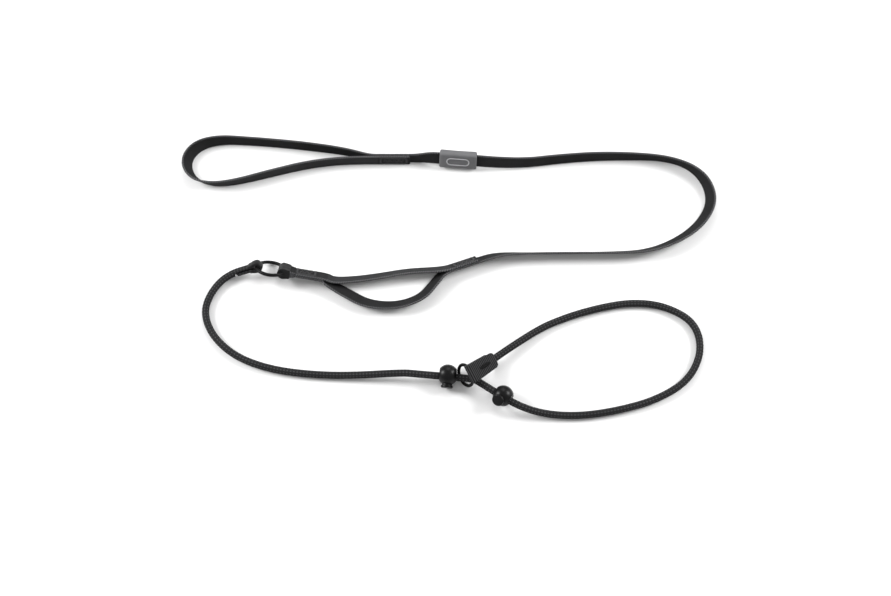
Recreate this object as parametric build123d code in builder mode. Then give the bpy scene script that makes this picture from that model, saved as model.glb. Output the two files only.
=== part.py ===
"""A dog's slip lead, laid out on a table: webbing leash with two hand loops, ring, rope neck loop."""

from build123d import *

import os
from math import acos, atan2, cos, degrees, radians, sin, tan

os.makedirs("parts", exist_ok=True)

# Webbing, one length folded and stitched (mm).
WEB_WIDTH = 16.0
WEB_THICK = 2.4
THREAD = 0.4

# The middle of the laid-out webbing, measured from the point the routes are laid out from.
MIDDLE = Vector(-1.16, 61.39, 0)

# Routes of the webbing: x, y, lean in degrees toward the left of travel, lift off the table.
HAND_LOOP = [
    (-44, 139.4, -5, 0.22), (-62, 139.4, -5, 0.22), (-100, 139.4, -5, 0.22),
    (-130, 138.0, -4, 0.1), (-165, 132.5, -5, 0.1), (-205, 121.5, -4, 0.1), (-240, 111.7, 3, 0.1),
    (-267, 108.8, 12, 0.2), (-289, 116.5, 30, 0.3), (-298, 137.5, 42, 0.3), (-287, 157.0, 32, 0.4),
    (-261, 165.5, 12, 0.5), (-225, 163.5, 7, 0.2), (-185, 160.0, 7, 0.1), (-145, 155.0, 6, 0.1),
    (-112, 149.5, 1, 0.1), (-90, 142.0, 5, 0.01), (-74, 142.0, 5, 0.01), (-44, 142.0, 5, 0.01),
]
LEASH = [
    (-44, 142.0, 5, 0.01), (-34, 142.0, 6, 0.01), (-20, 141.11, 24, 3.5), (-8, 140.13, 24, 3.5),
    (40, 136.21, 24, 3.5), (56, 134.9, 24, 3.5), (86, 135.5, 16, 1.0), (125, 141.0, 12, 0.2),
    (165, 144.3, 10, 0.1), (205, 144.5, 4, 0.1), (243, 142.3, -6, 0.2), (272, 132, -1, 0.4),
    (290, 112.5, 26, 0.5), (295, 87.0, 44, 0.2), (281, 61.0, 45, 0), (255, 40.5, 40, 0.1),
    (220, 26.5, 32, 0.1), (180, 24.8, 25, 0.1), (130, 24.5, 23, 0), (85, 24.0, 24, 0.1),
    (62, 23.3, 32, 0.3), (46, 21.0, 43, 0.01), (36, 17.41, 43, 0.01),
]
SLACK_LOOP = [
    (36, 17.41, 43, 0.01), (24, 13.1, 43, 0.01), (10, 8.07, 43, 0.01), (-6, 2.32, 43, 0.01),
    (-17, -12, 47, 0), (-30, -28.5, 49, 0), (-58, -38.5, 51, 0), (-90, -36.0, 58, 0.2),
    (-114, -22.0, 62, 0.5), (-134, -10.5, 50, 0.5),
]
MAIN_BAND = [(-127, -8.0, -49, 0), (-104, -7.0, -46, 0), (-75, -2.7, -44, 0), (-45, 3.2, -41, 0)]

# Ring and the fold of webbing that holds it: the channel runs along the wire, up the webbing.
RING_MEAN_R = 15.5
RING_WIRE_R = 1.9
CHANNEL_R = 3.5
FOLD_R = 5.5
SLEEVE_R = 6.2
SLEEVE_REACH = 7.5
SLEEVE_END_HALF = 4.8
FOLD_REACH = 13.0
CHANNEL_AT = Vector(-182.0, 1.2, 11.9)
RING_END_AHEAD = Vector(0.985, -0.14, -0.08)
RING_END_LEAN = -50
RING_OFFSET = 1.1
STITCHED_END = 42.0

# Rope of the neck loop: its eye on the ring, then its route; some corners are tight.
ROPE_R = 4.0
EYE_WIDTH = 8.4
EYE_BORE_R = 3.4
EYE_R = 6.0
EYE_HALF_THICK = 4.4
EYE_LENGTH = 29.0
EYE_AHEAD = Vector(-0.92, -0.2, -0.262)
GUARD_THICK = 0.7
GUARD_REACH = 8.0
GUARD_END_HALF = 6.4
ROPE_Z = 10.9
ROPE_Z_RISEN = 13.4
ROPE = [
    (-248.5, -3.5, 4.4), (-264, -26, 4.1), (-268, -48, 4.05), (-257, -74, 4.05), (-232, -97, 4.05),
    (-196, -111, 4.05), (-155, -117.5, 4.05), (-110, -119.5, 4.6), (-50, -118.3, ROPE_Z),
    (27, -125.5, ROPE_Z), (72, -156.5, ROPE_Z_RISEN), (102, -163.5, 4.6), (140, -165.5, 4.05),
    (182, -159, 4.05), (224, -146.5, 4.05), (259, -124.5, 4.05), (275, -90, 4.05),
    (268.5, -57, 4.05), (238, -38, 4.05), (203, -33, 4.05), (165, -39.5, 4.05), (125, -52, 4.1),
    (90, -69, 4.3),
]
TIGHT_RADII = {9: 60.0, 10: 38.0, 11: 38.0}

# Slip ring and the ribbed tab that joins it to the rope's end.
SLIP_AT = Vector(18.0, -122.2, 13.4)
SLIP_MEAN_R = 11.9
SLIP_WIRE_R = 1.8
SLIP_ACROSS = Vector(0.36, -0.857, -0.364)
SLIP_UP = Vector(0.52, -0.138, 0.842)
TAB_AHEAD = Vector(0.663, 0.615, -0.428)
TAB_SIDE = Vector(0.452, -0.783, -0.424)
TAB_LENGTH = 35.0
TAB_WIDE = 20.0
TAB_NARROW = 17.0
TAB_FOLD_R = 4.0
TAB_END_HALF_THICK = 5.2
TAB_CHANNEL_R = 2.3
TACK_LENGTH = 17.0
TACK_WIDTH = 5.0

# Rope stoppers: a ball with a bore for the rope, and a sprung plunger with its own hole across it.
STOP_R = 11.25
STOP_LENGTH = 18.4
STOP_BORE_R = 4.4
STOP_OFFSET = 2.0
PLUNGER_R = 5.5
PLUNGER_FIT = 0.08
PLUNGER_FOOT = -4.6
WELL_FLOOR = -8.2
BUTTON_R = 6.5
BUTTON_THICK = 2.9
BUTTON_FACE = 14.3
PRESS = 1.5
SPRING_R = 3.6
SPRING_WIRE_R = 0.3
SPRING_PITCH = 0.8
SPRING_RISE = 1.2
STOP_1_ALONG_RUN = 48.8
STOP_2_ALONG_RUN = 36.5
STOP_1_BUTTON = Vector(0, -0.96, -0.27)
STOP_2_BUTTON = Vector(-0.36, -0.68, 0.63)

# Keeper, a rubber sleeve that slides on the webbing.
KEEPER_LENGTH = 42.0
KEEPER_HEIGHT = 20.0
KEEPER_THICK = 10.5
KEEPER_FROM_START = 18.5
KEEPER_CLEARANCE = 0.35
RIM_LENGTH = 26.0
RIM_WIDTH = 10.0

# Stitching.
ROW_HEIGHT = 11.0
HAND_GAP = 0.21


def placed(x, y, z):
    """A laid-out point in the lead's own frame."""
    return Vector(x, y, z) - MIDDLE


def controls(route):
    """Route points as centres of the webbing, which stands on its lower edge at its lean."""
    points = []
    for x, y, lean, lift in route:
        slant = radians(lean)
        height = WEB_WIDTH / 2 * cos(slant) + WEB_THICK / 2 * abs(sin(slant)) + lift
        points.append((placed(x, y, height), lean))
    return points


def across(point, ahead, lean):
    """Plane across the webbing: x through its thickness, y up its width, z along its travel."""
    along = ahead.normalized()
    level = Vector(-ahead.Y, ahead.X, 0).normalized()
    through = level * cos(radians(lean)) - Vector(0, 0, sin(radians(lean)))
    through = through - along * through.dot(along)
    return Plane(origin=point, x_dir=through, z_dir=along)


def stations(points, steps=6):
    """Planes along the smooth curve that the control points pull."""
    planes = []
    last = len(points) - 2
    for i in range(1, last + 1):
        start = points[i - 1] if i == 1 else between(points[i - 1], points[i])
        end = points[i + 1] if i == last else between(points[i], points[i + 1])
        for step in range(steps if i < last else steps + 1):
            planes.append(bend(start, points[i], end, step / steps))
    return planes


def between(one, other):
    """Halfway between two control points."""
    return ((one[0] + other[0]) * 0.5, (one[1] + other[1]) * 0.5)


def bend(start, corner, end, t):
    """Plane at parameter t of the parabola from start to end that its corner pulls."""
    point = start[0] * (1 - t) ** 2 + corner[0] * (2 * t * (1 - t)) + end[0] * t**2
    lean = start[1] * (1 - t) ** 2 + corner[1] * (2 * t * (1 - t)) + end[1] * t**2
    ahead = (corner[0] - start[0]) * (1 - t) + (end[0] - corner[0]) * t
    return across(point, ahead, lean)


def section(plane):
    """The webbing's cross-section on one plane."""
    with BuildSketch(plane) as outline:
        Rectangle(WEB_THICK, WEB_WIDTH)
    return outline.sketch


def beside(plane, plies):
    """The plane of the ply that lies face to face, so many plies to the left."""
    return Plane(
        origin=plane.from_local_coords((plies * WEB_THICK, 0, 0)),
        x_dir=plane.x_dir,
        z_dir=plane.z_dir,
    )


def on_line(plane, distance):
    """The same plane moved along the webbing."""
    return plane.offset(distance)


def teardrop(circle_r, reach, half_thick):
    """Corners of the straight part of a profile that widens from a flat end to a round one."""
    span = Vector(reach, half_thick)
    turn = degrees(atan2(half_thick, reach) + acos(circle_r / span.length))
    touch = Vector(circle_r, 0).rotate(Axis.Z, turn)
    return [(touch.X, touch.Y), (reach, half_thick), (reach, -half_thick), (touch.X, -touch.Y)]


def radii(points):
    """Arc radius at each corner of a rope route: 0.45 of the shorter run, whatever the turn."""
    found = []
    for before, corner, after in zip(points, points[1:], points[2:]):
        run_in = corner - before
        run_out = after - corner
        shorter = min(run_in.length, run_out.length)
        found.append(0.45 * shorter / tan(radians(run_in.get_angle(run_out)) / 2))
    return found


# --- Webbing -------------------------------------------------------------------------------

hand_points = controls(HAND_LOOP)
leash_points = controls(LEASH)
slack_points = controls(SLACK_LOOP)
main_points = controls(MAIN_BAND)

# Centre plane of the two plies at the ring: its origin is the middle of the ring's channel.
ring_end = across(CHANNEL_AT - MIDDLE, RING_END_AHEAD, RING_END_LEAN)
hook = Plane(origin=ring_end.origin, x_dir=ring_end.z_dir, z_dir=ring_end.y_dir)

# The slack loop reaches the ring travelling away from it, on the near side of the main band.
near_end = [
    (beside(on_line(ring_end, s), -0.5).origin, -RING_END_LEAN) for s in (STITCHED_END + 6, 26, FOLD_REACH)
]
far_start = [
    (beside(on_line(ring_end, s), 0.5).origin, RING_END_LEAN) for s in (FOLD_REACH, 26, STITCHED_END + 6)
]

# The main band ends face to face on the slack loop's straight stretch.
lower_start, lower_stop = slack_points[0][0], slack_points[2][0]
lower_line = across(lower_start, lower_start - lower_stop, -slack_points[0][1])
far_lower = beside(lower_line, 1)
far_end = [
    (on_line(far_lower, s).origin, -slack_points[0][1]) for s in (-44, -28, -5)
]

with BuildPart() as hand_loop_webbing:
    loft(sections=[section(plane) for plane in stations(hand_points)], ruled=True)
hand_loop_webbing.part.label = "hand_loop_webbing"
export_step(hand_loop_webbing.part, "parts/hand_loop_webbing.step")

with BuildPart() as leash_webbing:
    loft(sections=[section(plane) for plane in stations(leash_points)], ruled=True)
leash_webbing.part.label = "leash_webbing"
export_step(leash_webbing.part, "parts/leash_webbing.step")

with BuildPart() as slack_loop_webbing:
    loft(sections=[section(plane) for plane in stations(slack_points + near_end)], ruled=True)
slack_loop_webbing.part.label = "slack_loop_webbing"
export_step(slack_loop_webbing.part, "parts/slack_loop_webbing.step")

with BuildPart() as main_band_webbing:
    loft(sections=[section(plane) for plane in stations(far_start + main_points + far_end)], ruled=True)
main_band_webbing.part.label = "main_band_webbing"
export_step(main_band_webbing.part, "parts/main_band_webbing.step")


# --- Ring end: fold, sleeve, ring --------------------------------------------------------------

with BuildPart() as ring_fold_webbing:
    with BuildSketch(hook):
        Circle(FOLD_R)
        Polygon(*teardrop(FOLD_R, FOLD_REACH, WEB_THICK), align=None)
        Circle(CHANNEL_R, mode=Mode.SUBTRACT)
    extrude(amount=WEB_WIDTH / 2, both=True)
ring_fold_webbing.part.label = "ring_fold_webbing"
export_step(ring_fold_webbing.part, "parts/ring_fold_webbing.step")

with BuildPart() as ring_fold_sleeve:
    with BuildSketch(hook):
        Circle(SLEEVE_R)
        Polygon(*teardrop(SLEEVE_R, SLEEVE_REACH, SLEEVE_END_HALF), align=None)
        Circle(FOLD_R, mode=Mode.SUBTRACT)
        Polygon(*teardrop(FOLD_R, FOLD_REACH, WEB_THICK), align=None, mode=Mode.SUBTRACT)
    extrude(amount=WEB_WIDTH / 2, both=True)
ring_fold_sleeve.part.label = "ring_fold_sleeve"
export_step(ring_fold_sleeve.part, "parts/ring_fold_sleeve.step")

ring_middle = hook.from_local_coords((RING_OFFSET - RING_MEAN_R, 0, 0))
ring_cut = Plane(origin=ring_middle, x_dir=hook.x_dir, z_dir=hook.z_dir)

with BuildPart() as lead_ring:
    with BuildSketch(ring_cut):
        with Locations((RING_MEAN_R, 0)):
            Circle(RING_WIRE_R)
    revolve(axis=Axis(ring_middle, hook.y_dir))
lead_ring.part.label = "lead_ring"
export_step(lead_ring.part, "parts/lead_ring.step")

# --- Rope: eye, guard, tube --------------------------------------------------------------------

eye_at = ring_middle - hook.x_dir * RING_MEAN_R
eye_ahead = EYE_AHEAD - hook.z_dir * EYE_AHEAD.dot(hook.z_dir)
eye = Plane(origin=eye_at, x_dir=eye_ahead, z_dir=hook.z_dir)

with BuildPart() as rope_eye:
    with BuildSketch(eye):
        Circle(EYE_R)
        Polygon(*teardrop(EYE_R, EYE_LENGTH, EYE_HALF_THICK), align=None)
        Circle(EYE_BORE_R, mode=Mode.SUBTRACT)
    extrude(amount=EYE_WIDTH / 2, both=True)
rope_eye.part.label = "rope_eye"
export_step(rope_eye.part, "parts/rope_eye.step")

with BuildPart() as rope_eye_guard:
    with BuildSketch(eye):
        Circle(EYE_R + GUARD_THICK)
        Polygon(*teardrop(EYE_R + GUARD_THICK, GUARD_REACH, GUARD_END_HALF), align=None)
        Circle(EYE_R, mode=Mode.SUBTRACT)
        Polygon(*teardrop(EYE_R, EYE_LENGTH, EYE_HALF_THICK), align=None, mode=Mode.SUBTRACT)
    extrude(amount=EYE_WIDTH / 2, both=True)
rope_eye_guard.part.label = "rope_eye_guard"
export_step(rope_eye_guard.part, "parts/rope_eye_guard.step")

tab = Plane(origin=SLIP_AT - MIDDLE + SLIP_UP * SLIP_MEAN_R, x_dir=TAB_AHEAD, z_dir=TAB_SIDE)
rope_start = eye.from_local_coords((EYE_LENGTH - 2.0, 0, 0))
rope_stop = tab.from_local_coords((TAB_LENGTH - 3.0, 0, 0))
rope_points = [rope_start] + [placed(*point) for point in ROPE] + [rope_stop]
rope_radii = radii(rope_points)
for corner, radius in TIGHT_RADII.items():
    rope_radii[corner - 1] = radius
print("rope radii", [round(radius, 1) for radius in rope_radii])

with BuildPart() as rope:
    with BuildLine() as rope_path:
        FilletPolyline(*rope_points, radius=rope_radii)
    with BuildSketch(Plane(origin=rope_start, z_dir=rope_points[1] - rope_start)):
        Circle(ROPE_R)
    sweep()
rope.part.label = "rope"
export_step(rope.part, "parts/rope.step")
rope_length = rope_path.wires()[0].length
print("rope length", round(rope_length, 1), "volume share", rope.part.volume / (rope_length * 50.265))

# --- Slip ring and tab --------------------------------------------------------------------------

slip_middle = SLIP_AT - MIDDLE
slip_cut = Plane(origin=slip_middle, x_dir=SLIP_UP, z_dir=SLIP_ACROSS)
slip_axis = Axis(slip_middle, slip_cut.y_dir)

with BuildPart() as slip_ring:
    with BuildSketch(slip_cut):
        with Locations((SLIP_MEAN_R, 0)):
            Circle(SLIP_WIRE_R)
    revolve(axis=slip_axis)
slip_ring.part.label = "slip_ring"
export_step(slip_ring.part, "parts/slip_ring.step")

tab_plan = Plane(origin=tab.origin, x_dir=tab.x_dir, z_dir=tab.y_dir)

with BuildPart() as rope_tab:
    with BuildSketch(tab):
        Circle(TAB_FOLD_R)
        Polygon(*teardrop(TAB_FOLD_R, TAB_LENGTH, TAB_END_HALF_THICK), align=None)
    extrude(amount=TAB_WIDE / 2, both=True)
    with BuildSketch(tab_plan):
        Polygon(
            (-TAB_FOLD_R, -TAB_WIDE / 2), (4, -TAB_WIDE / 2), (TAB_LENGTH, -TAB_NARROW / 2),
            (TAB_LENGTH, TAB_NARROW / 2), (4, TAB_WIDE / 2), (-TAB_FOLD_R, TAB_WIDE / 2),
            align=None,
        )
    extrude(amount=TAB_WIDE, both=True, mode=Mode.INTERSECT)
    with BuildSketch(slip_cut):
        with Locations((SLIP_MEAN_R, 0)):
            Circle(TAB_CHANNEL_R)
    revolve(axis=slip_axis, mode=Mode.SUBTRACT)
rope_tab.part.label = "rope_tab"
export_step(rope_tab.part, "parts/rope_tab.step")

corners = teardrop(TAB_FOLD_R, TAB_LENGTH, TAB_END_HALF_THICK)
tab_rise = Vector(*corners[1]) - Vector(*corners[0])
tack_at = Vector(*corners[0]) + tab_rise * 0.5
tab_slope = tab.x_dir * tab_rise.X + tab.y_dir * tab_rise.Y
tab_top = Plane(origin=tab.from_local_coords(tack_at), x_dir=tab_slope, z_dir=tab_slope.cross(tab.z_dir) * -1)

with BuildPart() as rope_tab_tack:
    with BuildSketch(tab_top):
        Ellipse(TACK_LENGTH / 2, TACK_WIDTH / 2)
    extrude(amount=0.8)
rope_tab_tack.part.label = "rope_tab_tack"
export_step(rope_tab_tack.part, "parts/rope_tab_tack.step")

# --- Stoppers -----------------------------------------------------------------------------------

run_1_start, run_1_end = rope_points[9], rope_points[10]
run_2_start, run_2_end = rope_points[10], rope_points[11]


def stop_frame(start, end, distance, button):
    """Plane of a stopper: origin at the ball's middle, x toward the button, z along the rope."""
    along = (end - start).normalized()
    press = (button - along * button.dot(along)).normalized()
    return Plane(origin=start + along * distance - press * STOP_OFFSET, x_dir=press, z_dir=along)


def press_plane(frame, distance):
    """Plane across the plunger at a distance from the ball's middle."""
    return Plane(origin=frame.from_local_coords((distance, 0, 0)), x_dir=frame.z_dir, z_dir=frame.x_dir)


def stop_ball(frame):
    """Ball with flat ends, a bore for the rope and a well for the plunger."""
    middle = Plane(origin=frame.origin, x_dir=frame.x_dir, z_dir=frame.y_dir * -1)
    with BuildPart() as ball:
        with BuildSketch(middle):
            Circle(STOP_R)
            Rectangle(2 * STOP_R, STOP_LENGTH, mode=Mode.INTERSECT)
            with Locations((-STOP_R, 0)):
                Rectangle(2 * STOP_R, 3 * STOP_R, mode=Mode.SUBTRACT)
        revolve(axis=Axis(frame.origin, frame.z_dir))
        with BuildSketch(frame):
            with Locations((STOP_OFFSET, 0)):
                Circle(STOP_BORE_R)
        extrude(amount=STOP_R * 2, both=True, mode=Mode.SUBTRACT)
        with BuildSketch(press_plane(frame, WELL_FLOOR)):
            Circle(PLUNGER_R + PLUNGER_FIT)
        extrude(amount=STOP_R * 3, mode=Mode.SUBTRACT)
    return ball.part


def stop_plunger(frame):
    """Plunger with its button, and a slot that lets the rope through at rest and pressed."""
    with BuildPart() as plunger:
        with BuildSketch(press_plane(frame, PLUNGER_FOOT)):
            Circle(PLUNGER_R)
        extrude(amount=BUTTON_FACE - BUTTON_THICK - PLUNGER_FOOT)
        with BuildSketch(press_plane(frame, BUTTON_FACE - BUTTON_THICK)):
            Circle(BUTTON_R)
        extrude(amount=BUTTON_THICK)
        fillet(plunger.edges().filter_by(GeomType.CIRCLE).group_by(SortBy.RADIUS)[-1], 0.9)
        with BuildSketch(frame):
            with Locations((STOP_OFFSET + PRESS / 2, 0)):
                SlotCenterToCenter(PRESS, 2 * STOP_BORE_R)
        extrude(amount=STOP_R * 2, both=True, mode=Mode.SUBTRACT)
    return plunger.part


def stop_spring(frame):
    """Short coil spring under the plunger."""
    seat = press_plane(frame, WELL_FLOOR + SPRING_WIRE_R + 0.05)
    with BuildPart() as spring:
        with BuildLine():
            coil = Helix(SPRING_PITCH, SPRING_RISE, SPRING_R, center=seat.origin, direction=seat.z_dir)
        with BuildSketch(Plane(origin=coil @ 0, z_dir=coil % 0)):
            Circle(SPRING_WIRE_R)
        sweep(path=coil, is_frenet=True)
    return spring.part


stop_1 = stop_frame(run_1_start, run_1_end, STOP_1_ALONG_RUN, STOP_1_BUTTON)
stop_2 = stop_frame(run_2_start, run_2_end, STOP_2_ALONG_RUN, STOP_2_BUTTON)

for number, frame in ((1, stop_1), (2, stop_2)):
    pieces = {"ball": stop_ball(frame), "button": stop_plunger(frame), "spring": stop_spring(frame)}
    for kind, piece in pieces.items():
        piece.label = f"stopper_{number}_{kind}"
        export_step(piece, f"parts/{piece.label}.step")
    print(piece.label, "press axis", frame.x_dir, "run", frame.z_dir, "middle", frame.origin)

# --- Keeper -------------------------------------------------------------------------------------

keeper_start = leash_points[3][0]
keeper_ahead = leash_points[4][0] - keeper_start
keeper = on_line(across(keeper_start, keeper_ahead, leash_points[3][1]), KEEPER_FROM_START)
keeper_face = Plane(
    origin=keeper.from_local_coords((-KEEPER_THICK / 2, 0, 0)),
    x_dir=keeper.z_dir,
    z_dir=keeper.x_dir * -1,
)

with BuildPart() as rubber_keeper:
    with BuildSketch(keeper):
        RectangleRounded(KEEPER_THICK, KEEPER_HEIGHT, 2.5)
        Rectangle(WEB_THICK + 2 * KEEPER_CLEARANCE, WEB_WIDTH + 2 * KEEPER_CLEARANCE, mode=Mode.SUBTRACT)
    extrude(amount=KEEPER_LENGTH / 2, both=True)
rubber_keeper.part.label = "rubber_keeper"
export_step(rubber_keeper.part, "parts/rubber_keeper.step")

with BuildPart() as keeper_rim:
    with BuildSketch(keeper_face):
        SlotOverall(RIM_LENGTH, RIM_WIDTH)
        SlotOverall(RIM_LENGTH - 2.4, RIM_WIDTH - 2.4, mode=Mode.SUBTRACT)
    extrude(amount=0.5)
keeper_rim.part.label = "keeper_rim"
export_step(keeper_rim.part, "parts/keeper_rim.step")
print("keeper axis", keeper.z_dir, "centre", keeper.origin)

# --- Stitching ----------------------------------------------------------------------------------


def thread_rows(plane, side, length):
    """Boxed stitch rows raised on one face of the webbing, over a length ahead of the plane."""
    face = Plane(
        origin=plane.from_local_coords((side * WEB_THICK / 2, 0, length / 2)),
        x_dir=plane.z_dir,
        z_dir=plane.x_dir * side,
    )
    with BuildPart() as rows:
        with BuildSketch(face):
            Rectangle(length, ROW_HEIGHT)
            Rectangle(length - 1.6, ROW_HEIGHT - 1.6, mode=Mode.SUBTRACT)
            with GridLocations(length / 3, 1, 2, 1):
                Rectangle(0.8, ROW_HEIGHT)
        extrude(amount=THREAD)
    return rows.part


def stitched(near, length, gap=0.0):
    """Stitching through two plies: near is the plane where the near ply's stretch begins."""
    far = beside(near, -1 - gap / WEB_THICK)
    return Compound(children=[thread_rows(near, 1, length), thread_rows(far, -1, length)])


hand_start = across(hand_points[0][0], hand_points[1][0] - hand_points[0][0], hand_points[0][1])
lower_near = across(lower_start, lower_stop - lower_start, slack_points[0][1])
ring_near = across(near_end[0][0], near_end[2][0] - near_end[0][0], near_end[0][1])
stitchings = {
    "hand_loop_stitching": stitched(on_line(hand_start, 3), 30, HAND_GAP),
    "lower_joint_stitching": stitched(on_line(lower_near, 9), 22),
    "ring_end_stitching": stitched(on_line(ring_near, 13), 20),
}
for name, stitching in stitchings.items():
    stitching.label = name
    export_step(stitching, f"parts/{name}.step")

print("ring swing", hook.z_dir, hook.origin, "rope swing", eye.z_dir, eye.origin)
print("slip spin", slip_cut.y_dir, slip_middle)
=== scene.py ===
"""Blender dressing of the slip lead: woven webbing, braided rope, rubber, metal, plastic."""

from math import acos, atan2, cos, hypot, pi, radians, sin

import bpy
import numpy as np
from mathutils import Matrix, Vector


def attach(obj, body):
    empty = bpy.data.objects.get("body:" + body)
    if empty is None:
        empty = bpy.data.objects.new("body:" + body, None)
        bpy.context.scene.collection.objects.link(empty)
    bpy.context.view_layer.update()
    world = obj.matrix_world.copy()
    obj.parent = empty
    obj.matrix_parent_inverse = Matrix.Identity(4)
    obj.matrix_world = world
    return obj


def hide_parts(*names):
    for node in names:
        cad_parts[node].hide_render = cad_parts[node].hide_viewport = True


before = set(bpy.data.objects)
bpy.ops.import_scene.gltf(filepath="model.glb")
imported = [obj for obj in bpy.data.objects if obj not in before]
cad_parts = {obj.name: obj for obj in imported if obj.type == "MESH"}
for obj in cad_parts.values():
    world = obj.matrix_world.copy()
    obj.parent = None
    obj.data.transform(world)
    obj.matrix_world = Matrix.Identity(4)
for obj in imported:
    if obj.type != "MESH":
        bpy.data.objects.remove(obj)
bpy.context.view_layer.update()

MM = 0.001

# --- Sizes and routes, as in the part: millimetres from the layout's own zero ---------------------

MIDDLE = Vector((-1.16, 61.39, 0))
WEB_WIDTH = 16.0
WEB_THICK = 2.4
ROPE_R = 4.0

HAND_LOOP = [
    (-44, 139.4, -5, 0.22), (-62, 139.4, -5, 0.22), (-100, 139.4, -5, 0.22),
    (-130, 138.0, -4, 0.1), (-165, 132.5, -5, 0.1), (-205, 121.5, -4, 0.1), (-240, 111.7, 3, 0.1),
    (-267, 108.8, 12, 0.2), (-289, 116.5, 30, 0.3), (-298, 137.5, 42, 0.3), (-287, 157.0, 32, 0.4),
    (-261, 165.5, 12, 0.5), (-225, 163.5, 7, 0.2), (-185, 160.0, 7, 0.1), (-145, 155.0, 6, 0.1),
    (-112, 149.5, 1, 0.1), (-90, 142.0, 5, 0.01), (-74, 142.0, 5, 0.01), (-44, 142.0, 5, 0.01),
]
LEASH = [
    (-44, 142.0, 5, 0.01), (-34, 142.0, 6, 0.01), (-20, 141.11, 24, 3.5), (-8, 140.13, 24, 3.5),
    (40, 136.21, 24, 3.5), (56, 134.9, 24, 3.5), (86, 135.5, 16, 1.0), (125, 141.0, 12, 0.2),
    (165, 144.3, 10, 0.1), (205, 144.5, 4, 0.1), (243, 142.3, -6, 0.2), (272, 132, -1, 0.4),
    (290, 112.5, 26, 0.5), (295, 87.0, 44, 0.2), (281, 61.0, 45, 0), (255, 40.5, 40, 0.1),
    (220, 26.5, 32, 0.1), (180, 24.8, 25, 0.1), (130, 24.5, 23, 0), (85, 24.0, 24, 0.1),
    (62, 23.3, 32, 0.3), (46, 21.0, 43, 0.01), (36, 17.41, 43, 0.01),
]
SLACK_LOOP = [
    (36, 17.41, 43, 0.01), (24, 13.1, 43, 0.01), (10, 8.07, 43, 0.01), (-6, 2.32, 43, 0.01),
    (-17, -12, 47, 0), (-30, -28.5, 49, 0), (-58, -38.5, 51, 0), (-90, -36.0, 58, 0.2),
    (-114, -22.0, 62, 0.5), (-134, -10.5, 50, 0.5),
]
MAIN_BAND = [(-127, -8.0, -49, 0), (-104, -7.0, -46, 0), (-75, -2.7, -44, 0), (-45, 3.2, -41, 0)]

CHANNEL_AT = Vector((-182.0, 1.2, 11.9))
RING_END_AHEAD = Vector((0.985, -0.14, -0.08))
RING_END_LEAN = -50
RING_MEAN_R = 15.5
RING_OFFSET = 1.1
STITCHED_END = 42.0
FOLD_REACH = 13.0
FOLD_R = 5.5
SLEEVE_R = 6.2
SLEEVE_REACH = 7.5
SLEEVE_END_HALF = 4.8

EYE_AHEAD = Vector((-0.92, -0.2, -0.262))
EYE_LENGTH = 29.0
GUARD_REACH = 8.0

ROPE_Z = 10.9
ROPE_Z_RISEN = 13.4
ROPE = [
    (-248.5, -3.5, 4.4), (-264, -26, 4.1), (-268, -48, 4.05), (-257, -74, 4.05), (-232, -97, 4.05),
    (-196, -111, 4.05), (-155, -117.5, 4.05), (-110, -119.5, 4.6), (-50, -118.3, ROPE_Z),
    (-38, -119.42, ROPE_Z), (27, -125.5, ROPE_Z), (72, -156.5, ROPE_Z_RISEN), (102, -163.5, 4.6),
    (140, -165.5, 4.05),
    (182, -159, 4.05), (224, -146.5, 4.05), (259, -124.5, 4.05), (275, -90, 4.05),
    (268.5, -57, 4.05), (238, -38, 4.05), (203, -33, 4.05), (165, -39.5, 4.05), (125, -52, 4.1),
    (90, -69, 4.3),
]
# Extra points before two of the corners in ROPE, by index, that keep the runs between them straight.
ROPE_STRAIGHT = {10: (15.5, -124.42, ROPE_Z), 11: (37.5, -132.73, 11.4)}

SLIP_AT = Vector((18.0, -122.2, 13.4))
SLIP_MEAN_R = 11.9
SLIP_WIRE_R = 1.8
SLIP_ACROSS = Vector((0.36, -0.857, -0.364))
SLIP_UP = Vector((0.52, -0.138, 0.842))
TAB_AHEAD = Vector((0.663, 0.615, -0.428))
TAB_SIDE = Vector((0.452, -0.783, -0.424))
TAB_LENGTH = 35.0
TAB_WIDE = 20.0
TAB_NARROW = 17.0
TAB_FOLD_R = 4.0
TAB_END_HALF_THICK = 5.2
TAB_RIB_PITCH = 2.3
TACK_LENGTH = 17.0
TACK_WIDTH = 5.0
TACK_RISE = 0.7

KEEPER_LENGTH = 42.0
KEEPER_HEIGHT = 20.0
KEEPER_THICK = 10.5
KEEPER_FROM_START = 18.5
KEEPER_CLEARANCE = 0.35
RIM_LENGTH = 26.0
RIM_WIDTH = 10.0
RIM_BEAD_R = 0.62

# --- Weave and braid: millimetres, apart from the two in metres ------------------------------------

UV_SHIFT = 0.05  # metres, keeps texture places across a band above zero
WELD_GAP = 0.00001  # metres
WEB_COLUMN = 2.0
TWILL_PITCH = 1.1
FLECK_PITCH = 2.6
SELVEDGE_WIDE = 1.4
SCALLOP_PITCH = 4.9
BRAID_CARRIERS = 8
BRAID_LAY = 3.6


def placed(x, y, z):
    """A laid-out point in the lead's own frame, in metres."""
    return (Vector((x, y, z)) - MIDDLE) * MM


# --- Small helpers --------------------------------------------------------------------------------

def linked(name, data):
    """New object in the scene."""
    piece = bpy.data.objects.new(name, data)
    bpy.context.scene.collection.objects.link(piece)
    return piece


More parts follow.
